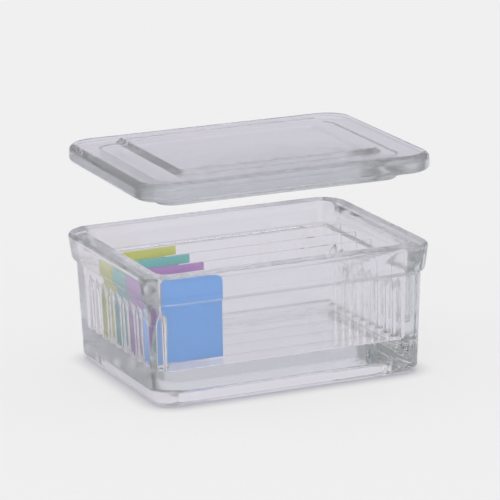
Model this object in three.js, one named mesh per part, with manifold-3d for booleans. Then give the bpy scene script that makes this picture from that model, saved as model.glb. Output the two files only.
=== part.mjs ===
// A pressed-glass slide staining dish with its lid lifted off and four labelled slides in its slots.
// Millimetres, +Z up. X runs along the slides, Y across them, and the dish stands on Z = 0.

import * as THREE from 'three';
import { mergeVertices } from 'three/addons/utils/BufferGeometryUtils.js';
import Module from 'manifold-3d';

const wasm = await Module();
wasm.setup();

// ---------------------------------------------------------------- driving dimensions

// Microscope slides, each standing on a long edge.
const slideLength = 76;
const slideHeight = 26;
const slideThickness = 1;
const slideEndClearance = 1.1;
const slideSeatGap = 0.3;
const slideHeadroom = 3.8;

// Slots between the ribs of the two end walls.
const slotCount = 10;
const slotPitch = 5.5;
const slotSideMargin = 0.2;
const ribHalfWidth = 1.6;
const ribDepth = 2.5;
const cornerRibShare = 0.4;
const ribArchHeight = 5;
const ribTopBelowRim = 11.8;

// Dish: base, walls and the collar round the mouth.
const floorHeight = 10.3;
const endWall = 4.2;
const sideWall = 5.5;
const outerDraft = 1.35;
const footFillet = 2.6;
const footWidth = 6.5;
const footRecessDepth = 3.6;
const footRecessCorner = 8;
const footRecessEdge = 0.5;
const footRecessFillet = 1;
const collarHeight = 8.5;
const collarOverhang = 1.4;
const collarTaper = 0.9;
const collarLowerRounding = 1.2;
const rimOuterRounding = 1.2;
const rimCorner = 9.4;

// Cavity: its walls lean outwards from the floor to a softly rounded inner rim.
const cavityCorner = 1;
const mouthCorner = 2;
const endDraft = 0.3;
const sideDraft = 1;
const floorFillet = 0.5;
const rimInnerWidth = 2.5;
const rimInnerDrop = 4.5;

// Lid: a plug that drops into the mouth, a flange that lies on the rim and a raised panel on top.
// It is shown held above the dish, a touch off centre and turned a little about the upright axis.
const lidLift = 22.6;
const lidShift = 0.5;
const lidForward = 1;
const lidTurn = -0.7;
const lidOverEnds = 0.3;
const lidShortOfSides = 1.05;
const lidCorner = 9.4;
const flangeThickness = 5.4;
const flangeLowerRounding = 1.5;
const flangeUpperRounding = 2.2;
const flangeRise = 0.1;
const plugOverSlides = 0.7;
const plugEndClearance = 0.5;
const plugSideClearance = 1.2;
const plugCorner = 5.5;
const plugEdge = 0.8;
const plugFillet = 0.4;
const panelEndInset = 13.55;
const panelSideInset = 8.5;
const panelCorner = 4.5;
const panelBevel = 2.1;
const panelHeight = 1;
const panelCrown = 0.8;

// Facets of the rounded corners and edges.
const cornerSteps = 8;
const edgeSteps = 4;

// ---------------------------------------------------------------- worked-out sizes

const dishHeight = floorHeight + slideSeatGap + slideHeight + slideHeadroom;
const collarBottom = dishHeight - collarHeight;
const plugHeight = slideHeadroom - plugOverSlides;

// Outlines are rounded rectangles. Sections are drawn by moving inwards from one of them.
const cavity = {
  halfLength: slideLength / 2 + slideEndClearance,
  halfWidth: (slotCount * slotPitch) / 2 + slotSideMargin,
  corner: cavityCorner,
};
const mouth = {
  halfLength: cavity.halfLength + endDraft,
  halfWidth: cavity.halfWidth + sideDraft,
  corner: mouthCorner,
};
const wallToRim = outerDraft + collarOverhang + collarTaper;
const rim = {
  halfLength: cavity.halfLength + endWall + wallToRim,
  halfWidth: cavity.halfWidth + sideWall + wallToRim,
  corner: rimCorner,
};
const footRecess = {
  halfLength: rim.halfLength - wallToRim - footWidth,
  halfWidth: rim.halfWidth - wallToRim - footWidth,
  corner: footRecessCorner,
};
const flange = {
  halfLength: rim.halfLength + lidOverEnds,
  halfWidth: rim.halfWidth - lidShortOfSides,
  corner: lidCorner,
};
const plug = {
  halfLength: mouth.halfLength - plugEndClearance,
  halfWidth: mouth.halfWidth - plugSideClearance,
  corner: plugCorner,
};
const panel = {
  halfLength: flange.halfLength - panelEndInset,
  halfWidth: flange.halfWidth - panelSideInset,
  corner: panelCorner,
};

// ---------------------------------------------------------------- shapes

/** The points of one outline, moved inwards by inset, at height z. */
function ring(outline, inset, z) {
  const radius = Math.max(outline.corner - inset, 0.2);
  const reachX = outline.halfLength - inset - radius;
  const reachY = outline.halfWidth - inset - radius;
  const points = [];
  for (let corner = 0; corner < 4; corner += 1) {
    const centreX = corner === 0 || corner === 3 ? reachX : -reachX;
    const centreY = corner < 2 ? reachY : -reachY;
    for (let step = 0; step <= cornerSteps; step += 1) {
      const angle = (corner + step / cornerSteps) * (Math.PI / 2);
      const x = centreX + radius * Math.cos(angle);
      const y = centreY + radius * Math.sin(angle);
      points.push(new THREE.Vector3(x, y, z));
    }
  }
  return points;
}

/**
 * Rings along an arc of a section. Angles are in degrees: 0 points outwards from the arc's centre,
 * 90 points up and 180 points inwards.
 */
function arcRings(outline, centreInset, centreZ, radius, from, to) {
  const rings = [];
  for (let step = 0; step <= edgeSteps; step += 1) {
    const angle = THREE.MathUtils.degToRad(from + ((to - from) * step) / edgeSteps);
    const inset = centreInset - radius * Math.cos(angle);
    rings.push(ring(outline, inset, centreZ + radius * Math.sin(angle)));
  }
  return rings;
}

/** The cavity's outline at height z, between its floor fillet and the mouth. */
function cavityAt(z) {
  const low = floorHeight + floorFillet;
  const share = (z - low) / (dishHeight - low);
  return {
    halfLength: THREE.MathUtils.lerp(cavity.halfLength, mouth.halfLength, share),
    halfWidth: THREE.MathUtils.lerp(cavity.halfWidth, mouth.halfWidth, share),
    corner: THREE.MathUtils.lerp(cavity.corner, mouth.corner, share),
  };
}

/** Rings down the inner edge of the rim, a quarter of an ellipse taller than it is wide. */
function innerRimRings() {
  const steps = 2 * edgeSteps;
  const rings = [];
  for (let step = 0; step <= steps; step += 1) {
    const angle = (step / steps) * (Math.PI / 2);
    const z = dishHeight - rimInnerDrop * (1 - Math.cos(angle));
    rings.push(ring(cavityAt(z), -rimInnerWidth * (1 - Math.sin(angle)), z));
  }
  return rings;
}

/** A closed skin over a run of rings, with a flat or pointed cap on its first and last ring. */
function loft(rings, firstCentreZ, lastCentreZ) {
  const count = rings[0].length;
  const points = rings.flat();
  const firstCentre = points.length;
  const lastCentre = firstCentre + 1;
  points.push(new THREE.Vector3(0, 0, firstCentreZ), new THREE.Vector3(0, 0, lastCentreZ));
  const indices = [];
  const lastRing = (rings.length - 1) * count;
  for (let j = 0; j < count; j += 1) {
    const next = (j + 1) % count;
    indices.push(firstCentre, next, j);
    for (let start = 0; start < lastRing; start += count) {
      const above = start + count;
      indices.push(start + j, start + next, above + next);
      indices.push(start + j, above + next, above + j);
    }
    indices.push(lastCentre, lastRing + j, lastRing + next);
  }
  const geometry = new THREE.BufferGeometry().setFromPoints(points);
  geometry.setIndex(indices);
  return geometry;
}

/** A three.js geometry as a manifold-3d solid. */
function toSolid(geometry) {
  const bare = geometry.clone();
  bare.deleteAttribute('normal');
  bare.deleteAttribute('uv');
  const merged = mergeVertices(bare, 1e-4);
  const vertProperties = new Float32Array(merged.attributes.position.array);
  const triVerts = new Uint32Array(merged.index.array);
  return new wasm.Manifold(new wasm.Mesh({ numProp: 3, vertProperties, triVerts }));
}

/** A manifold-3d solid as a three.js geometry. */
function toGeometry(solid) {
  const { vertProperties, triVerts } = solid.getMesh();
  const geometry = new THREE.BufferGeometry();
  geometry.setAttribute('position', new THREE.BufferAttribute(vertProperties, 3));
  geometry.setIndex(new THREE.BufferAttribute(triVerts, 1));
  geometry.computeVertexNormals();
  return geometry;
}

// ---------------------------------------------------------------- dish

/** The dish without its ribs: recessed foot, walls, collar, rim and cavity. */
function dishShell() {
  const footInset = wallToRim;
  const bodyTopInset = collarTaper + collarOverhang;
  const recessTop = footRecessDepth - footRecessFillet;
  const lowerCollar = collarBottom + collarLowerRounding;
  const rings = [
    ...arcRings(footRecess, footRecessFillet, recessTop, footRecessFillet, 90, 0),
    ...arcRings(footRecess, -footRecessEdge, footRecessEdge, footRecessEdge, 180, 270),
    ...arcRings(rim, footInset + footFillet, footFillet, footFillet, -90, 0),
    ring(rim, bodyTopInset, collarBottom),
    ...arcRings(rim, collarTaper + collarLowerRounding, lowerCollar, collarLowerRounding, -90, 0),
    ...arcRings(rim, rimOuterRounding, dishHeight - rimOuterRounding, rimOuterRounding, 0, 90),
    ...innerRimRings(),
    ...arcRings(cavity, floorFillet, floorHeight + floorFillet, floorFillet, 0, -90),
  ];
  return loft(rings, footRecessDepth, floorHeight);
}

/** One rib, depth deep: a half-round upright ridge whose top closes to a pointed arch. */
function ribShape(depth) {
  const root = floorHeight - 0.5;
  const top = dishHeight - ribTopBelowRim;
  const archFoot = top - ribArchHeight;
  const archSteps = 5;
  const profile = [new THREE.Vector2(0, root), new THREE.Vector2(ribHalfWidth, root)];
  for (let step = 0; step < archSteps; step += 1) {
    const rise = step / archSteps;
    const height = archFoot + ribArchHeight * rise;
    profile.push(new THREE.Vector2(ribHalfWidth * (1 - rise * rise), height));
  }
  profile.push(new THREE.Vector2(0, top));
  const ribFacets = 16;
  const rib = new THREE.LatheGeometry(profile, ribFacets);
  rib.rotateX(Math.PI / 2);
  rib.scale(depth / ribHalfWidth, 1, 1);
  return rib;
}

/** The whole dish: the shell with a row of ribs on each end wall. */
function dishGeometry() {
  let solid = toSolid(dishShell());
  for (let index = 0; index <= slotCount; index += 1) {
    const y = (index - slotCount / 2) * slotPitch;
    const share = index === 0 || index === slotCount ? cornerRibShare : 1;
    const depth = endDraft + ribDepth * share;
    for (const end of [-1, 1]) {
      const rib = ribShape(depth).translate(end * mouth.halfLength, y, 0);
      solid = solid.add(toSolid(rib));
    }
  }
  return toGeometry(solid);
}

// ---------------------------------------------------------------- lid

/** The lid, with its seat on the rim at Z = 0. */
function lidGeometry() {
  const flangeTop = flangeThickness;
  const bevelFoot = flangeTop + flangeRise;
  const bevelTop = bevelFoot + panelHeight;
  const crownSteps = 5;
  const rings = [
    ...arcRings(plug, plugEdge, plugEdge - plugHeight, plugEdge, -90, 0),
    ...arcRings(plug, -plugFillet, -plugFillet, plugFillet, 180, 90),
    ...arcRings(flange, flangeLowerRounding, flangeLowerRounding, flangeLowerRounding, -90, 0),
    ...arcRings(flange, flangeUpperRounding, flangeTop - flangeUpperRounding, flangeUpperRounding, 0, 90),
    ring(panel, 0, bevelFoot),
    ring(panel, panelBevel, bevelTop),
  ];
  for (let step = 1; step < crownSteps; step += 1) {
    const reach = 1 - step / crownSteps;
    const halfLength = (panel.halfLength - panelBevel) * reach;
    const halfWidth = (panel.halfWidth - panelBevel) * reach;
    const corner = panelCorner + (halfWidth - panelCorner) * (1 - reach);
    const height = bevelTop + panelCrown * (1 - reach * reach);
    rings.push(ring({ halfLength, halfWidth, corner }, 0, height));
  }
  return loft(rings, -plugHeight, bevelTop + panelCrown);
}

// ---------------------------------------------------------------- assembly

const glass = { color: 0xd5dad8, roughness: 0.05, metalness: 0 };
const slides = [
  { name: 'slide_blue', slot: 2, color: 0x7aa2d8 },
  { name: 'slide_purple', slot: 4, color: 0xad84bc },
  { name: 'slide_teal', slot: 6, color: 0x77aeaf },
  { name: 'slide_yellow', slot: 8, color: 0xc5c673 },
];

const stainingJar = new THREE.Group();

const dish = new THREE.Mesh(dishGeometry(), new THREE.MeshStandardMaterial(glass));
dish.name = 'staining_dish';
stainingJar.add(dish);

const lid = new THREE.Mesh(lidGeometry(), new THREE.MeshStandardMaterial(glass));
lid.name = 'dish_lid';
lid.position.set(lidShift, -lidForward, dishHeight + lidLift);
lid.rotation.z = THREE.MathUtils.degToRad(lidTurn);
stainingJar.add(lid);

// Slots are counted from the front wall.
for (const { name, slot, color } of slides) {
  const shape = new THREE.BoxGeometry(slideLength, slideThickness, slideHeight);
  const slide = new THREE.Mesh(shape, new THREE.MeshStandardMaterial({ ...glass, color }));
  slide.name = name;
  const y = (slot - (slotCount + 1) / 2) * slotPitch;
  slide.position.set(0, y, floorHeight + slideSeatGap + slideHeight / 2);
  stainingJar.add(slide);
}

export default stainingJar;
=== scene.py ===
"""A pressed-glass slide staining dish, its lifted lid and four labelled slides, on a pale studio floor."""

import math

import bpy
from bpy.props import FloatProperty, FloatVectorProperty, PointerProperty
from bpy.types import Operator, Panel, PropertyGroup
from mathutils import Matrix, Quaternion, Vector


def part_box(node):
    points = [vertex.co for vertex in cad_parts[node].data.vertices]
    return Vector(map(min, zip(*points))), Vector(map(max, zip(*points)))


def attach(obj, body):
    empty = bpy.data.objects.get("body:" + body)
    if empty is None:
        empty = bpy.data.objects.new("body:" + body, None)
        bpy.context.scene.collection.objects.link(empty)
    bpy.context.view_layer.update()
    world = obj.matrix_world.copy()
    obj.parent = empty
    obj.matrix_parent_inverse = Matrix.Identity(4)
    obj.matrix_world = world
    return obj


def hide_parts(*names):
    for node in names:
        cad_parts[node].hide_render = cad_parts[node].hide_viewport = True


bl_info = {
    "name": "Slide Staining Jar",
    "version": (1, 0, 0),
    "blender": (4, 5, 0),
    "location": "View3D > Sidebar > Staining Jar",
    "description": "Builds a glass staining dish with its lid, its slides and a studio to show them in",
    "category": "Add Mesh",
}

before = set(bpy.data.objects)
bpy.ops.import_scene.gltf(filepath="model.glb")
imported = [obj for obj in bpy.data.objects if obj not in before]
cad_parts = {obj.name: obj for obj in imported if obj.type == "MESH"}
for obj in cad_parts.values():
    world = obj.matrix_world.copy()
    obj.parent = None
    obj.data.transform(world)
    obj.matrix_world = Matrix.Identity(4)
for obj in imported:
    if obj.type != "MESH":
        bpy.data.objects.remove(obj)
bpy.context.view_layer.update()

MM = 0.001
GLASS_IOR = 1.52
RIPPLE = 0.03 * MM  # height of the waves in the pressed glass
LAST_RIB = 5  # the ribs are counted from 0 in the middle of an end wall to this one in each corner
SMALLEST_CORNER = 0.2 * MM
END_WALL_DEPTH = 2.4 * MM  # a point of the cavity this close to its end belongs to the end wall

# Small roundings that the mould leaves, the same at any size of the jar.
HOLLOW_CORNER = 8.0 * MM
HOLLOW_ROUNDING = 1.0 * MM
FOOT_EDGE = 0.5 * MM
STEP_FILLET = 0.8 * MM  # in the inner corner under the collar
COLLAR_ROUNDING = 1.2 * MM
PLUG_ROUNDING = 0.8 * MM
PLUG_FILLET = 0.4 * MM
PANEL_LIFT = 0.1 * MM

FLOOR_HALF = 4.0
FLOOR_DROP = 0.05 * MM  # how far the floor lies below the foot
FLOOR_PALENESS = 0.9
FOOT_HALVES = (43.2 * MM, 33.1 * MM, 1.0)  # half the length and width of the foot's outline


def size(name, description, default):
    """A length property whose default is given in millimetres."""
    return FloatProperty(
        name=name,
        description=description,
        default=default * MM,
        min=0.0,
        precision=5,
        subtype="DISTANCE",
        unit="LENGTH",
    )


def angle(name, description, default):
    """An angle property whose default is given in degrees."""
    return FloatProperty(name=name, description=description, default=math.radians(default), subtype="ANGLE")


def portion(name, description, default):
    """A property between 0 and 1."""
    return FloatProperty(
        name=name, description=description, default=default, min=0.0, max=1.0, subtype="FACTOR"
    )


def colour(name, description, default):
    """A colour property."""
    return FloatVectorProperty(
        name=name, description=description, default=default, size=3, min=0.0, max=1.0, subtype="COLOR"
    )


# The soft fields of the studio that the glass shows. Each has its middle's azimuth from +Y towards +X,
# half its width, its lowest and highest elevation and the softness of its edges, all in degrees, and its
# brightness in red, green and blue. Fields that overlap add up.
FIELDS = (
    (0, 180, -20, 100, 5, (0.03, 0.03, 0.03)),  # the whole room
    (30, 45, -20, 25, 4, (0.38, 0.37, 0.41)),  # behind
    (30, 17, -20, 25, 4, (0.20, 0.19, 0.22)),  # behind, narrow
    (30, 20, 25, 45, 4, (0.50, 0.48, 0.56)),  # behind, raised
    (320, 25, -20, 25, 4, (0.14, 0.13, 0.15)),  # behind to the left
    (150, 16, -20, 25, 4, (0.46, 0.42, 0.49)),  # front right
    (120, 15, 12, 25, 4, (1.30, 1.25, 1.40)),  # right, raised
    (150, 15, 25, 45, 4, (0.92, 0.88, 0.96)),  # front right, raised
    (180, 15, -20, 62, 4, (3.1, 3.15, 3.2)),  # front, tall
    (212, 16, -20, 12, 4, (1.9, 1.9, 2.0)),  # front left, low
    (212, 16, 12, 25, 4, (0.9, 0.9, 1.0)),  # front left, middle
    (212, 16, 25, 45, 4, (2.0, 2.0, 2.1)),  # front left, raised
    (240, 12, 12, 25, 4, (1.4, 1.35, 1.4)),  # left, raised
    (135, 22, 45, 70, 4, (0.9, 0.9, 1.0)),  # front right, high
    (225, 22, 45, 70, 4, (0.8, 0.72, 0.65)),  # front left, high
    (0, 22, 45, 70, 4, (1.95, 1.85, 2.05)),  # behind, high
    (45, 22, 45, 70, 4, (0.84, 0.80, 0.93)),  # behind to the right, high
    (0, 180, 70, 110, 4, (0.85, 0.84, 0.76)),  # overhead
)


# ------------------------------------------------------------------ settings


class DishSettings(PropertyGroup):
    """Sizes of the dish."""

    half_length: size("Half length", "Middle of the dish to the outside of its rim, along the slides", 46.95)
    half_width: size("Half width", "Middle of the dish to the outside of its rim, across the slots", 36.85)
    height: size("Height", "Foot to rim", 40.4)
    rim_corner: size("Rim corner", "Corner radius of the rim seen from above", 9.4)
    collar_height: size("Collar height", "Height of the thicker collar round the mouth", 8.5)
    collar_taper: size("Collar taper", "How far the collar draws in from the rim to its lower edge", 0.9)
    collar_overhang: size("Collar overhang", "How far the collar stands proud of the wall below it", 1.4)
    outer_draft: size("Outer draft", "How far the outer wall draws in from the collar to the foot", 1.35)
    foot_fillet: size("Foot fillet", "Rounding between the outer wall and the foot", 2.6)
    foot_width: size("Foot width", "Outer wall to the edge of the hollow in the underside", 6.5)
    foot_hollow: size("Foot hollow", "Depth of the hollow in the underside", 3.6)
    mouth_half_length: size("Mouth half length", "Middle to the plug's recess, along the slides", 39.4)
    mouth_half_width: size("Mouth half width", "Middle to the plug's recess, across the slots", 28.7)
    mouth_corner: size("Mouth corner", "Corner radius of the recess for the plug", 2.0)
    rim_inner_rounding: size("Rim inner rounding", "How far its rounding reaches into the rim", 2.5)
    rim_inner_drop: size("Rim inner drop", "How far its rounding reaches down the wall", 4.5)
    cavity_half_length: size("Cavity half length", "Middle to the end walls at the floor", 39.1)
    cavity_half_width: size("Cavity half width", "Middle to the side walls at the floor", 27.7)
    cavity_corner: size("Cavity corner", "Corner radius of the cavity at its floor", 1.0)
    floor_fillet: size("Floor fillet", "Rounding between the cavity's walls and its floor", 0.5)
    floor_height: size("Floor height", "Foot to the cavity's floor", 10.3)
    rib_pitch: size("Rib pitch", "Distance between neighbouring ribs", 5.5)
    rib_depth: size("Rib depth", "How far a rib stands out of the end wall", 2.2)
    rib_half_width: size("Rib half width", "Half the width of a rib where it meets the wall", 1.9)
    rib_flat: portion("Rib flat", "Flat middle of a rib's face as a share of its width", 0.45)
    end_rib: portion("End rib", "Depth of the ribs in the corners as a share of the others", 0.4)
    rib_top: size("Rib top", "Foot to the pointed top of the ribs", 28.6)
    rib_arch: size("Rib arch", "Height of the pointed arch at the top of a rib", 5.0)


class LidSettings(PropertyGroup):
    """Sizes of the lid."""

    seat_height: size("Seat height", "Foot of the dish to the underside of the lifted lid's flange", 63.0)
    shift: size("Shift", "How far the lifted lid hangs off the middle of the dish, along the slides", 0.5)
    forward: size("Forward", "How far the lifted lid hangs in front of the middle of the dish", 1.0)
    turn: angle("Turn", "Turn of the lifted lid about the upright axis", -0.7)
    half_length: size("Half length", "Middle to the outside of the flange, along the slides", 47.25)
    half_width: size("Half width", "Middle to the outside of the flange, across the slots", 35.8)
    corner: size("Corner", "Corner radius of the flange", 9.4)
    thickness: size("Thickness", "Thickness of the flange", 5.4)
    upper_rounding: size("Upper rounding", "Rounding of the flange's upper edge", 2.2)
    lower_rounding: size("Lower rounding", "Rounding of the flange's lower edge", 1.5)
    plug_half_length: size("Plug half length", "Middle to the side of the plug, along the slides", 38.9)
    plug_half_width: size("Plug half width", "Middle to the side of the plug, across the slots", 27.5)
    plug_corner: size("Plug corner", "Corner radius of the plug", 5.5)
    plug_height: size("Plug height", "How far the plug reaches below the flange", 3.1)
    panel_half_length: size("Panel half length", "Middle to the panel's foot, along the slides", 33.7)
    panel_half_width: size("Panel half width", "Middle to the panel's foot, across the slots", 27.3)
    panel_corner: size("Panel corner", "Corner radius of the raised panel", 4.5)
    panel_bevel: size("Panel bevel", "Width of the sloped edge of the raised panel", 2.1)
    panel_height: size("Panel height", "Height of the raised panel's edge", 1.4)
    panel_crown: size("Panel crown", "How far the middle of the panel rises above its edge", 0.4)


class SlideSettings(PropertyGroup):
    """Sizes and label colours of the slides."""

    label_length: size("Label length", "Length of the enamelled label end", 20.0)
    edge: size("Ground edge", "Width of the ground chamfer round the slide", 0.05)
    blue: colour("Blue", "Enamel of the blue label", (0.18, 0.42, 0.90))
    purple: colour("Purple", "Enamel of the purple label", (0.63, 0.375, 0.67))
    teal: colour("Teal", "Enamel of the teal label", (0.31, 0.69, 0.66))
    yellow: colour("Yellow", "Enamel of the yellow label", (0.82, 0.79, 0.29))


class StageSettings(PropertyGroup):
    """Camera, floor and light."""

    azimuth: angle("Azimuth", "Turn of the camera round the dish", -23.536)
    elevation: angle("Elevation", "Camera angle above the floor", 14.479)
    roll: angle("Roll", "Turn of the camera about its own axis", -1.172)
    camera_place: FloatVectorProperty(
        name="Camera place",
        description="Where the camera stands, from the middle of the foot",
        default=(-0.419374, -0.965317, 0.307757),
        size=3,
        precision=6,
        subtype="TRANSLATION",
        unit="LENGTH",
    )
    lens: FloatProperty(name="Lens", description="Focal length in millimetres", default=256.76, min=10.0)
    floor_colour: colour("Floor", "Pale floor sheet as the glass shows it", (0.70, 0.68, 0.74))
    floor_seen: portion("Floor seen", "Grey of the floor as the camera sees it", 0.845)
    shadow_colour: colour("Shadow colour", "Tint of the soft shadow round the foot", (0.55, 0.53, 0.60))
    shadow_reach: size("Shadow reach", "How far the soft shadow spreads from the foot", 6.0)
    side_shade: portion("Side shade", "Share of light on the floor beside and behind the foot", 0.6)
    far_shade: portion("Far shade", "Share of light on the floor far from the foot", 0.6)
    brightest: portion("Brightest", "The most light that the glass can show in any direction", 1.0)
    dimmest: portion("Dimmest", "The least light that a reflection off the glass can show", 0.3)
    even_light: FloatProperty(
        name="Even light", description="Strength of the light on matt surfaces", default=1.3, min=0.0
    )


# ------------------------------------------------------------------ shapes


def even_shares(steps):
    """Evenly spaced shares of a straight stretch, between its ends at -1 and 1."""
    return [2 * k / steps - 1 for k in range(1, steps)]


class Stations:
    """Where the points of a ring lie.

    They are angles in the corners, and shares from -1 to 1 of the straight sides and ends.
    """

    def __init__(self, corner_steps, side_steps, end):
        self.corner = [math.radians(90 * k / corner_steps) for k in range(corner_steps + 1)]
        self.side = even_shares(side_steps)
        self.end = end


class Outline:
    """A rounded rectangle seen from above, with its middle on the Z axis."""

    def __init__(self, half_length, half_width, corner):
        self.half_length = half_length
        self.half_width = half_width
        self.corner = corner

    def ring(self, inset, z, stations):
        """Points of the outline moved inwards by inset, at height z."""
        radius = max(self.corner - inset, SMALLEST_CORNER)
        edge_x, edge_y = self.half_length - inset, self.half_width - inset
        reach_x, reach_y = edge_x - radius, edge_y - radius
        points = []
        for corner, (sx, sy) in enumerate(((1, 1), (-1, 1), (-1, -1), (1, -1))):
            for step in stations.corner:
                turn = math.radians(90 * corner) + step
                x = sx * reach_x + radius * math.cos(turn)
                y = sy * reach_y + radius * math.sin(turn)
                points.append(Vector((x, y, z)))
            if corner % 2 == 0:
                points += [Vector((-sx * reach_x * share, sy * edge_y, z)) for share in stations.side]
            else:
                points += [Vector((sx * edge_x, -sy * reach_y * share, z)) for share in stations.end]
        return points


def arc(centre_inset, centre_z, radius, start, end, steps):
    """Insets and heights along an arc of a section; 0 degrees points outwards and 90 up."""
    out = []
    for k in range(steps + 1):
        turn = math.radians(start + (end - start) * k / steps)
        out.append((centre_inset - radius * math.cos(turn), centre_z + radius * math.sin(turn)))
    return out


def skin(name, rings, material):
    """A closed mesh over a run of rings, with a fan in the middle of the first and the last."""
    count = len(rings[0])
    points = [p for ring in rings for p in ring]
    first, last = len(points), len(points) + 1
    points += [Vector((0, 0, sum(p.z for p in ring) / count)) for ring in (rings[0], rings[-1])]
    faces = []
    top = (len(rings) - 1) * count
    for j in range(count):
        k = (j + 1) % count
        faces.append((first, k, j))
        faces += [(s + j, s + k, s + count + k, s + count + j) for s in range(0, top, count)]
        faces.append((last, top + j, top + k))
    mesh = bpy.data.meshes.new(name)
    mesh.from_pydata([tuple(p) for p in points], [], faces)
    mesh.validate()
    mesh.polygons.foreach_set("use_smooth", [True] * len(mesh.polygons))
    piece = bpy.data.objects.new(name, mesh)
    bpy.context.scene.collection.objects.link(piece)
    mesh.materials.append(material)
    flats = piece.modifiers.new("Even flats", "WEIGHTED_NORMAL")
    flats.weight = 100
    return piece


# ------------------------------------------------------------------ node helpers


def maths(nodes, links, kind, *values):
    """The result of a maths node on numbers and sockets."""
    node = nodes.new("ShaderNodeMath")
    node.operation = kind
    for socket, value in zip(node.inputs, values):
        if isinstance(value, (int, float)):
            socket.default_value = value
        else:
            links.new(value, socket)
    return node.outputs["Value"]


def fade(nodes, links, value, start, end):
    """A soft step: 0 where the value is at start, 1 where it is at end."""
    node = nodes.new("ShaderNodeMapRange")
    node.interpolation_type = "SMOOTHSTEP"
    links.new(value, node.inputs["Value"])
    node.inputs["From Min"].default_value = start
    node.inputs["From Max"].default_value = end
    return node.outputs["Result"]


def blend_tones(nodes, links, share, first, second):
    """From the first tone to the second as the share goes from 0 to 1; a tone is a colour or a socket."""
    node = nodes.new("ShaderNodeMix")
    node.data_type = "RGBA"
    links.new(share, node.inputs["Factor"])
    for name, tone in (("A", first), ("B", second)):
        if isinstance(tone, tuple):
            node.inputs[name].default_value = (*tone, 1.0)
        else:
            links.new(tone, node.inputs[name])
    return node.outputs["Result"]


def blend_shaders(nodes, links, share, first, second):
    """From the first shader to the second as the share, a number or a socket, goes from 0 to 1."""
    node = nodes.new("ShaderNodeMixShader")
    if isinstance(share, float):
        node.inputs["Fac"].default_value = share
    else:
        links.new(share, node.inputs["Fac"])
    links.new(first, node.inputs[1])
    links.new(second, node.inputs[2])
    return node.outputs["Shader"]


def dimmed(tone, share):
    """A colour at a share of its brightness."""
    return tuple(part * share for part in tone)


# ------------------------------------------------------------------ materials


def new_material(name):
    """An empty node material: itself, its nodes, its links and its output node."""
    material = bpy.data.materials.new(name)
    material.use_nodes = True
    nodes, links = material.node_tree.nodes, material.node_tree.links
    nodes.clear()
    output = nodes.new("ShaderNodeOutputMaterial")
    return material, nodes, links, output


def pressed_glass(name, ripple, blur, seed):
    """Clear pressed glass with the soft waves that the mould and fire polish leave."""
    material, nodes, links, output = new_material(name)
    glass = nodes.new("ShaderNodeBsdfPrincipled")
    glass.inputs["Base Color"].default_value = (1.0, 1.0, 1.0, 1.0)
    glass.inputs["Roughness"].default_value = blur
    glass.inputs["IOR"].default_value = GLASS_IOR
    glass.inputs["Transmission Weight"].default_value = 1.0
    glass.inputs["Coat Weight"].default_value = 0.4
    glass.inputs["Coat Roughness"].default_value = 0.0
    place = nodes.new("ShaderNodeTexCoord")
    waves = nodes.new("ShaderNodeTexNoise")
    waves.noise_dimensions = "4D"
    waves.inputs["W"].default_value = seed
    waves.inputs["Scale"].default_value = 26.0
    waves.inputs["Detail"].default_value = 1.5
    bump = nodes.new("ShaderNodeBump")
    bump.inputs["Strength"].default_value = 1.0
    bump.inputs["Distance"].default_value = ripple
    links.new(place.outputs["Object"], waves.inputs["Vector"])
    links.new(waves.outputs["Fac"], bump.inputs["Height"])
    links.new(bump.outputs["Normal"], glass.inputs["Normal"])
    links.new(glass.outputs["BSDF"], output.inputs["Surface"])
    tint = nodes.new("ShaderNodeVolumeAbsorption")
    tint.inputs["Color"].default_value = (0.70, 0.75, 0.74, 1.0)
    tint.inputs["Density"].default_value = 9.0
    links.new(tint.outputs["Volume"], output.inputs["Volume"])
    return material


def sheet_glass(name):
    """Thin clear slide glass."""
    material, nodes, links, output = new_material(name)
    glass = nodes.new("ShaderNodeBsdfPrincipled")
    glass.inputs["Base Color"].default_value = (1.0, 1.0, 1.0, 1.0)
    glass.inputs["Roughness"].default_value = 0.0
    glass.inputs["IOR"].default_value = GLASS_IOR
    glass.inputs["Transmission Weight"].default_value = 1.0
    links.new(glass.outputs["BSDF"], output.inputs["Surface"])
    return material


def ground_edge(name):
    """The fine ground edge of a slide: pale, matt and half see-through."""
    material, nodes, links, output = new_material(name)
    frost = nodes.new("ShaderNodeBsdfPrincipled")
    frost.inputs["Base Color"].default_value = (0.62, 0.63, 0.66, 1.0)
    frost.inputs["Roughness"].default_value = 0.6
    frost.inputs["Transmission Weight"].default_value = 0.35
    clear = nodes.new("ShaderNodeBsdfTransparent")
    thin = blend_shaders(nodes, links, 0.2, clear.outputs["BSDF"], frost.outputs["BSDF"])
    links.new(thin, output.inputs["Surface"])
    return material


def enamel(name, tone):
    """Printed enamel: a matt colour with a fine uneven grain."""
    material, nodes, links, output = new_material(name)
    paint = nodes.new("ShaderNodeBsdfPrincipled")
    paint.inputs["Roughness"].default_value = 0.45
    place = nodes.new("ShaderNodeTexCoord")
    grain = nodes.new("ShaderNodeTexNoise")
    grain.inputs["Scale"].default_value = 900.0
    grain.inputs["Detail"].default_value = 3.0
    dark, light = dimmed(tone, 0.94), tuple(min(1.0, part * 1.06) for part in tone)
    links.new(place.outputs["Object"], grain.inputs["Vector"])
    links.new(blend_tones(nodes, links, grain.outputs["Fac"], dark, light), paint.inputs["Base Color"])
    links.new(paint.outputs["BSDF"], output.inputs["Surface"])
    return material


# ------------------------------------------------------------------ operators


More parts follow.
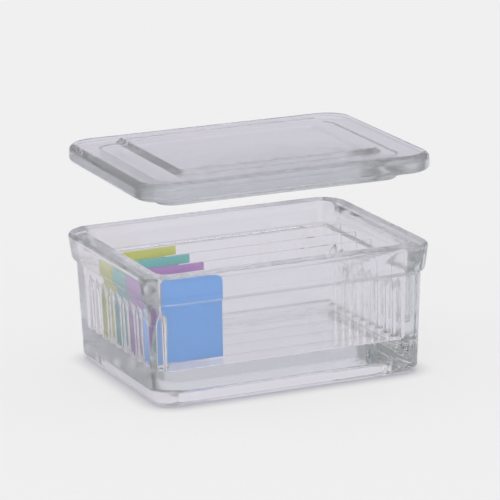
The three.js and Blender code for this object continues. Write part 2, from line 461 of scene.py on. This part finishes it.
class JAR_OT_dish(Operator):
    """Build the pressed-glass dish"""

    bl_idname = "staining_jar.dish"
    bl_label = "Dish"

    def execute(self, context):
        s = context.scene.staining_dish
        stations = Stations(16, 30, self.end_shares(s))
        rim = Outline(s.half_length, s.half_width, s.rim_corner)
        foot_inset = s.outer_draft + s.collar_overhang + s.collar_taper
        hollow_inset = foot_inset + s.foot_width
        hollow = Outline(s.half_length - hollow_inset, s.half_width - hollow_inset, HOLLOW_CORNER)
        collar_bottom = s.height - s.collar_height
        body_top = s.collar_taper + s.collar_overhang
        rings = []

        def add(outline, section, ribs=False):
            for inset, z in section:
                ring = outline.ring(inset, z, stations)
                if ribs:
                    self.press_ribs(s, ring)
                rings.append(ring)

        edge = HOLLOW_ROUNDING
        add(hollow, [(1.5 * edge, s.foot_hollow)] + arc(edge, s.foot_hollow - edge, edge, 90, 0, 6))
        add(hollow, arc(-FOOT_EDGE, FOOT_EDGE, FOOT_EDGE, 180, 270, 5))
        add(rim, arc(foot_inset + s.foot_fillet, s.foot_fillet, s.foot_fillet, -90, 0, 12))
        wall_height = collar_bottom - s.foot_fillet - STEP_FILLET
        steps = 8
        for k in range(1, steps + 1):
            inset = foot_inset + (body_top - foot_inset) * k / steps
            add(rim, [(inset, s.foot_fillet + wall_height * k / steps)])
        add(rim, arc(body_top - STEP_FILLET, collar_bottom - STEP_FILLET, STEP_FILLET, 180, 90, 6)[1:])
        edge = COLLAR_ROUNDING
        add(rim, arc(s.collar_taper + edge, collar_bottom + edge, edge, -90, 0, 6))
        add(rim, arc(edge, s.height - edge, edge, 0, 90, 8))
        low = s.floor_height + s.floor_fillet

        def wall(z):
            """The cavity's outline at a height, between its floor and its mouth."""
            share = (z - low) / (s.height - low)
            return Outline(
                s.cavity_half_length + (s.mouth_half_length - s.cavity_half_length) * share,
                s.cavity_half_width + (s.mouth_half_width - s.cavity_half_width) * share,
                s.cavity_corner + (s.mouth_corner - s.cavity_corner) * share,
            )

        steps = 10
        for k in range(steps + 1):
            turn = math.radians(90 - 90 * k / steps)
            z = s.height - s.rim_inner_drop * (1 - math.sin(turn))
            add(wall(z), [(-s.rim_inner_rounding * (1 - math.cos(turn)), z)])

        # Plain rings down to just above the ribs, then close ones over the ribs' pointed tops.
        top = s.height - s.rim_inner_drop
        steps = 6
        heights = [top + (s.rib_top + 0.6 * MM - top) * k / steps for k in range(1, steps)]
        for z in heights:
            add(wall(z), [(0.0, z)])
        steps = 18
        heights = [s.rib_top + 0.4 * MM] + [s.rib_top - s.rib_arch * k / steps for k in range(steps + 1)]
        heights += [s.rib_top - s.rib_arch - drop * MM for drop in (3, 6, 9)]
        for z in heights:
            add(wall(z), [(0.0, z)], ribs=True)
        cavity = wall(low)
        add(cavity, arc(s.floor_fillet, low, s.floor_fillet, 0, -90, 8), ribs=True)
        add(cavity, [(4.2 * MM, s.floor_height), (8 * MM, s.floor_height)])
        glass = pressed_glass("Dish glass", RIPPLE, 0.05, 1.7)
        piece = skin("staining_dish_glass", rings, glass)
        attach(piece, "root")
        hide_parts("staining_dish")
        return {"FINISHED"}

    def end_shares(self, s):
        """Points close together across each rib, as shares of the end wall's straight part."""
        reach = s.cavity_half_width - s.cavity_corner
        across = [0.0, 0.25, 0.45, 0.55, 0.62, 0.7, 0.78, 0.86, 0.93, 1.0]
        found = {0.0}
        for index in range(-LAST_RIB, LAST_RIB + 1):
            middle = index * s.rib_pitch
            for share in across:
                off = share * s.rib_half_width
                found.update((round(middle - off, 7), round(middle + off, 7)))
            found.add(round(middle + s.rib_pitch / 2, 7))
        return [y / reach for y in sorted(found) if abs(y) < reach - SMALLEST_CORNER]

    def press_ribs(self, s, ring):
        """Push the points of a cavity ring inwards wherever a rib stands."""
        start = max(abs(p.x) for p in ring) - END_WALL_DEPTH
        for p in ring:
            if abs(p.x) < start:
                continue
            index = min(LAST_RIB, max(-LAST_RIB, round(p.y / s.rib_pitch)))
            rise = max(0.0, (p.z - (s.rib_top - s.rib_arch)) / s.rib_arch)
            scale = 1 - min(1.0, rise) ** 2
            if scale < 0.001:
                continue
            off = abs(p.y - index * s.rib_pitch) / (s.rib_half_width * scale)
            if off >= 1:
                continue
            share = s.end_rib if abs(index) == LAST_RIB else 1.0
            fall = max(0.0, (off - s.rib_flat) / (1 - s.rib_flat))
            depth = s.rib_depth * share * scale * 0.5 * (1 + math.cos(math.pi * fall))
            p.x = math.copysign(abs(p.x) - depth, p.x)


class JAR_OT_lid(Operator):
    """Build the pressed-glass lid"""

    bl_idname = "staining_jar.lid"
    bl_label = "Lid"

    def execute(self, context):
        s = context.scene.dish_lid
        stations = Stations(16, 30, even_shares(24))
        flange = Outline(s.half_length, s.half_width, s.corner)
        plug = Outline(s.plug_half_length, s.plug_half_width, s.plug_corner)
        panel = Outline(s.panel_half_length, s.panel_half_width, s.panel_corner)
        rings = []

        def add(outline, section):
            rings.extend(outline.ring(inset, z, stations) for inset, z in section)

        edge, fillet = PLUG_ROUNDING, PLUG_FILLET
        add(plug, [(edge + fillet, -s.plug_height)] + arc(edge, edge - s.plug_height, edge, -90, 0, 8))
        add(plug, arc(-fillet, -fillet, fillet, 180, 90, 4))
        add(flange, arc(s.lower_rounding, s.lower_rounding, s.lower_rounding, -90, 0, 8))
        add(flange, arc(s.upper_rounding, s.thickness - s.upper_rounding, s.upper_rounding, 0, 90, 12))
        bevel_foot = s.thickness + PANEL_LIFT
        bevel_top = bevel_foot + s.panel_height
        steps = 12
        for k in range(steps + 1):
            share = k / steps
            eased = 0.2 * share + 0.8 * share * share * (3 - 2 * share)  # a slope with soft ends
            add(panel, [(s.panel_bevel * share, bevel_foot + s.panel_height * eased)])
        steps = 10
        for k in range(1, steps):
            reach = 1 - k / steps
            half_length = (s.panel_half_length - s.panel_bevel) * reach
            half_width = (s.panel_half_width - s.panel_bevel) * reach
            corner = s.panel_corner * reach + (half_width - s.panel_corner * reach) * (1 - reach)
            height = bevel_top + s.panel_crown * (1 - reach * reach)
            add(Outline(half_length, half_width, corner), [(0.0, height)])
        place = Matrix.Translation((s.shift, -s.forward, s.seat_height)) @ Matrix.Rotation(s.turn, 4, "Z")
        glass = pressed_glass("Lid glass", RIPPLE, 0.12, 4.2)
        piece = skin("dish_lid_glass", rings, glass)
        piece.data.transform(place)
        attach(piece, "root")
        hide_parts("dish_lid")
        return {"FINISHED"}


class JAR_OT_slides(Operator):
    """Build the four slides with their enamelled label ends"""

    bl_idname = "staining_jar.slides"
    bl_label = "Slides"

    def execute(self, context):
        s = context.scene.slides
        glass = sheet_glass("Slide glass")
        edge = ground_edge("Ground slide edge")
        for tone in ("blue", "purple", "teal", "yellow"):
            low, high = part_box("slide_" + tone)
            paint = enamel(tone.capitalize() + " enamel", tuple(getattr(s, tone)))
            piece = self.slide(tone, low, high, s, (glass, paint, edge))
            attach(piece, "root")
            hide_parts("slide_" + tone)
        return {"FINISHED"}

    def slide(self, tone, low, high, s, materials):
        """A thin sheet with ground edges, whose front face is enamelled at one end."""
        split = low.x + s.label_length
        points = []
        for y, inset in ((low.y, s.edge), (low.y + s.edge, 0.0), (high.y - s.edge, 0.0), (high.y, s.edge)):
            x0, x1, z0, z1 = low.x + inset, high.x - inset, low.z + inset, high.z - inset
            points += [(x0, y, z0), (split, y, z0), (x1, y, z0), (x1, y, z1), (split, y, z1), (x0, y, z1)]
        loop = 6
        faces = [(0, 1, 4, 5), (1, 2, 3, 4)]
        for start in (0, loop, 2 * loop):
            for j in range(loop):
                k = (j + 1) % loop
                faces.append((start + k, start + j, start + loop + j, start + loop + k))
        faces += [tuple(3 * loop + j for j in back) for back in ((5, 4, 1, 0), (4, 3, 2, 1))]
        mesh = bpy.data.meshes.new("slide_" + tone + "_glass")
        mesh.from_pydata(points, [], faces)
        for material in materials:
            mesh.materials.append(material)
        mesh.polygons[0].material_index = 1
        for face in mesh.polygons[2:-2]:
            face.material_index = 2
        mesh.validate()
        piece = bpy.data.objects.new("slide_" + tone + "_glass", mesh)
        bpy.context.scene.collection.objects.link(piece)
        return piece


class JAR_OT_stage(Operator):
    """Lay the floor, set the light and place the camera"""

    bl_idname = "staining_jar.stage"
    bl_label = "Stage"

    def execute(self, context):
        s = context.scene.jar_stage
        self.camera(context, s)
        self.floor(s)
        self.world(context, s)
        context.scene.view_settings.view_transform = "Standard"
        context.scene.cycles.use_denoising = True
        context.scene.cycles.max_bounces = 24
        context.scene.cycles.transmission_bounces = 24
        context.scene.cycles.glossy_bounces = 16
        context.scene.cycles.transparent_max_bounces = 24
        return {"FINISHED"}

    def camera(self, context, s):
        """The camera at its place, turned to look back at the jar."""
        camera = bpy.data.objects.new("Camera", bpy.data.cameras.new("Camera"))
        context.scene.collection.objects.link(camera)
        camera.data.lens = s.lens
        camera.data.sensor_width = 36.0
        camera.data.clip_start = 0.05
        camera.data.clip_end = 50.0
        a, e = s.azimuth, s.elevation
        back = Vector((math.sin(a) * math.cos(e), -math.cos(a) * math.cos(e), math.sin(e)))
        camera.rotation_mode = "QUATERNION"
        camera.rotation_quaternion = back.to_track_quat("Z", "Y") @ Quaternion((0, 0, 1), s.roll)
        camera.location = s.camera_place
        context.scene.camera = camera

    def floor(self, s):
        """A pale sheet: plain with a soft shadow for the camera, and with its own light for the rest."""
        mesh = bpy.data.meshes.new("Floor")
        w, z = FLOOR_HALF, -FLOOR_DROP
        mesh.from_pydata([(-w, -w, z), (w, -w, z), (w, w, z), (-w, w, z)], [], [(0, 1, 2, 3)])
        floor = bpy.data.objects.new("Floor", mesh)
        bpy.context.scene.collection.objects.link(floor)
        material, nodes, links, output = new_material("Pale floor")
        path = nodes.new("ShaderNodeLightPath")
        matt_ray = maths(nodes, links, "GREATER_THAN", path.outputs["Diffuse Depth"], 0.5)
        even = nodes.new("ShaderNodeEmission")
        even.inputs["Strength"].default_value = FLOOR_PALENESS * s.even_light
        glow = nodes.new("ShaderNodeEmission")
        links.new(self.sheet_tone(s, nodes, links), glow.inputs["Color"])
        below = blend_shaders(nodes, links, matt_ray, glow.outputs["Emission"], even.outputs["Emission"])
        seen = self.seen_floor(s, nodes, links)
        surface = blend_shaders(nodes, links, path.outputs["Is Camera Ray"], below, seen)
        links.new(surface, output.inputs["Surface"])
        mesh.materials.append(material)

    def seen_floor(self, s, nodes, links):
        """The floor as the camera sees it, darker where the foot stands close."""
        plain = (s.floor_seen,) * 3
        near = nodes.new("ShaderNodeAmbientOcclusion")
        near.samples = 8
        near.inputs["Distance"].default_value = s.shadow_reach
        shade = nodes.new("ShaderNodeMapRange")
        shade.inputs["From Min"].default_value = 0.35
        shade.inputs["From Max"].default_value = 0.95
        links.new(near.outputs["AO"], shade.inputs["Value"])
        shadow = dimmed(s.shadow_colour, s.floor_seen)
        lit = nodes.new("ShaderNodeEmission")
        links.new(blend_tones(nodes, links, shade.outputs["Result"], shadow, plain), lit.inputs["Color"])
        matt = nodes.new("ShaderNodeBsdfDiffuse")
        matt.inputs["Color"].default_value = (*plain, 1.0)
        return blend_shaders(nodes, links, 0.2, lit.outputs["Emission"], matt.outputs["BSDF"])

    def sheet_tone(self, s, nodes, links):
        """The floor as the glass shows it, with painted shade far away and a painted shadow in a band beside
        and behind the foot.
        """
        place = nodes.new("ShaderNodeTexCoord")
        reach = nodes.new("ShaderNodeVectorMath")
        reach.operation = "LENGTH"
        links.new(place.outputs["Object"], reach.inputs[0])
        # Painted shade: the sheet fades to far_shade of its tone far from the foot.
        far = fade(nodes, links, reach.outputs["Value"], 0.3, 0.9)
        tone = tuple(s.floor_colour)
        sheet = blend_tones(nodes, links, far, tone, dimmed(tone, s.far_shade))
        feet = nodes.new("ShaderNodeVectorMath")  # after this, 1 is at the edge of the foot
        feet.operation = "DIVIDE"
        feet.inputs[1].default_value = FOOT_HALVES
        links.new(place.outputs["Object"], feet.inputs[0])
        side = nodes.new("ShaderNodeSeparateXYZ")
        links.new(feet.outputs["Vector"], side.inputs["Vector"])
        x, y = side.outputs["X"], side.outputs["Y"]
        off_x, off_y = (maths(nodes, links, "ABSOLUTE", part) for part in (x, y))
        away = maths(nodes, links, "MAXIMUM", off_x, off_y)
        # Painted shadow: a band beside and behind the foot is darkened towards side_shade, where the dish
        # would shade the floor.
        outside, close = fade(nodes, links, away, 0.97, 1.03), fade(nodes, links, away, 1.6, 1.35)
        painted_shadow_band = maths(nodes, links, "MULTIPLY", outside, close)
        painted_shadow_band = maths(nodes, links, "MULTIPLY", painted_shadow_band, fade(nodes, links, y, -1.05, -0.85))
        return blend_tones(nodes, links, painted_shadow_band, sheet, dimmed(tone, s.side_shade))

    def world(self, context, s):
        """A plain even light for matt surfaces, and soft pale and dark fields for the glass to show."""
        world = bpy.data.worlds.new("Studio")
        context.scene.world = world
        world.use_nodes = True
        nodes, links = world.node_tree.nodes, world.node_tree.links
        nodes.clear()
        output = nodes.new("ShaderNodeOutputWorld")
        room = nodes.new("ShaderNodeBackground")
        gleam = nodes.new("ShaderNodeBackground")
        total = self.fields(nodes, links)
        for light, limit, bound in ((room, "MINIMUM", s.brightest), (gleam, "MAXIMUM", s.dimmest)):
            bounded = nodes.new("ShaderNodeVectorMath")
            bounded.operation = limit
            bounded.inputs[1].default_value = (bound, bound, bound)
            links.new(total, bounded.inputs[0])
            total = bounded.outputs["Vector"]
            links.new(total, light.inputs["Color"])
        even = nodes.new("ShaderNodeBackground")
        even.inputs["Color"].default_value = (1.0, 1.0, 1.0, 1.0)
        even.inputs["Strength"].default_value = s.even_light
        path = nodes.new("ShaderNodeLightPath")
        through, off = room.outputs["Background"], gleam.outputs["Background"]
        glass = blend_shaders(nodes, links, path.outputs["Is Glossy Ray"], through, off)
        matt = maths(nodes, links, "GREATER_THAN", path.outputs["Diffuse Depth"], 0.5)
        plain = maths(nodes, links, "MAXIMUM", matt, path.outputs["Is Camera Ray"])
        surface = blend_shaders(nodes, links, plain, glass, even.outputs["Background"])
        links.new(surface, output.inputs["Surface"])

    def fields(self, nodes, links):
        """The sum of the studio's fields in the direction looked in."""
        place = nodes.new("ShaderNodeTexCoord")
        split = nodes.new("ShaderNodeSeparateXYZ")
        links.new(place.outputs["Generated"], split.inputs["Vector"])
        turn = maths(nodes, links, "ARCTAN2", split.outputs["X"], split.outputs["Y"])
        rise = maths(nodes, links, "ARCSINE", split.outputs["Z"])

        def soft_step(value, start, end):
            return fade(nodes, links, value, math.radians(start), math.radians(end))

        total = None
        for azimuth, half_turn, low, high, soft, tone in FIELDS:
            bottom = soft_step(rise, low - soft, low + soft)
            share = maths(nodes, links, "MULTIPLY", bottom, soft_step(rise, high + soft, high - soft))
            if half_turn < 180:
                away = maths(nodes, links, "SUBTRACT", turn, math.radians(azimuth))
                away = maths(nodes, links, "WRAP", away, math.pi, -math.pi)
                away = maths(nodes, links, "ABSOLUTE", away)
                side = soft_step(away, half_turn + soft, half_turn - soft)
                share = maths(nodes, links, "MULTIPLY", share, side)
            field = nodes.new("ShaderNodeVectorMath")
            field.operation = "MULTIPLY_ADD"
            field.inputs[1].default_value = tone
            links.new(share, field.inputs[0])
            if total is not None:
                links.new(total, field.inputs[2])
            total = field.outputs["Vector"]
        return total


class JAR_PT_panel(Panel):
    """Sizes and steps of the staining jar"""

    bl_label = "Staining Jar"
    bl_idname = "JAR_PT_panel"
    bl_space_type = "VIEW_3D"
    bl_region_type = "UI"
    bl_category = "Staining Jar"

    def draw(self, context):
        layout = self.layout
        groups = (
            (JAR_OT_stage, context.scene.jar_stage),
            (JAR_OT_dish, context.scene.staining_dish),
            (JAR_OT_slides, context.scene.slides),
            (JAR_OT_lid, context.scene.dish_lid),
        )
        for step, settings in groups:
            box = layout.box()
            box.operator(step.bl_idname)
            for name in settings.__annotations__:
                box.prop(settings, name)


CLASSES = (
    DishSettings,
    LidSettings,
    SlideSettings,
    StageSettings,
    JAR_OT_dish,
    JAR_OT_lid,
    JAR_OT_slides,
    JAR_OT_stage,
    JAR_PT_panel,
)


def register():
    for cls in CLASSES:
        bpy.utils.register_class(cls)
    bpy.types.Scene.staining_dish = PointerProperty(type=DishSettings)
    bpy.types.Scene.dish_lid = PointerProperty(type=LidSettings)
    bpy.types.Scene.slides = PointerProperty(type=SlideSettings)
    bpy.types.Scene.jar_stage = PointerProperty(type=StageSettings)


def unregister():
    for name in ("staining_dish", "dish_lid", "slides", "jar_stage"):
        delattr(bpy.types.Scene, name)
    for cls in reversed(CLASSES):
        bpy.utils.unregister_class(cls)


def main():
    register()
    bpy.ops.staining_jar.dish()
    bpy.ops.staining_jar.slides()
    bpy.ops.staining_jar.lid()
    bpy.ops.staining_jar.stage()


if __name__ == "__main__":
    main()
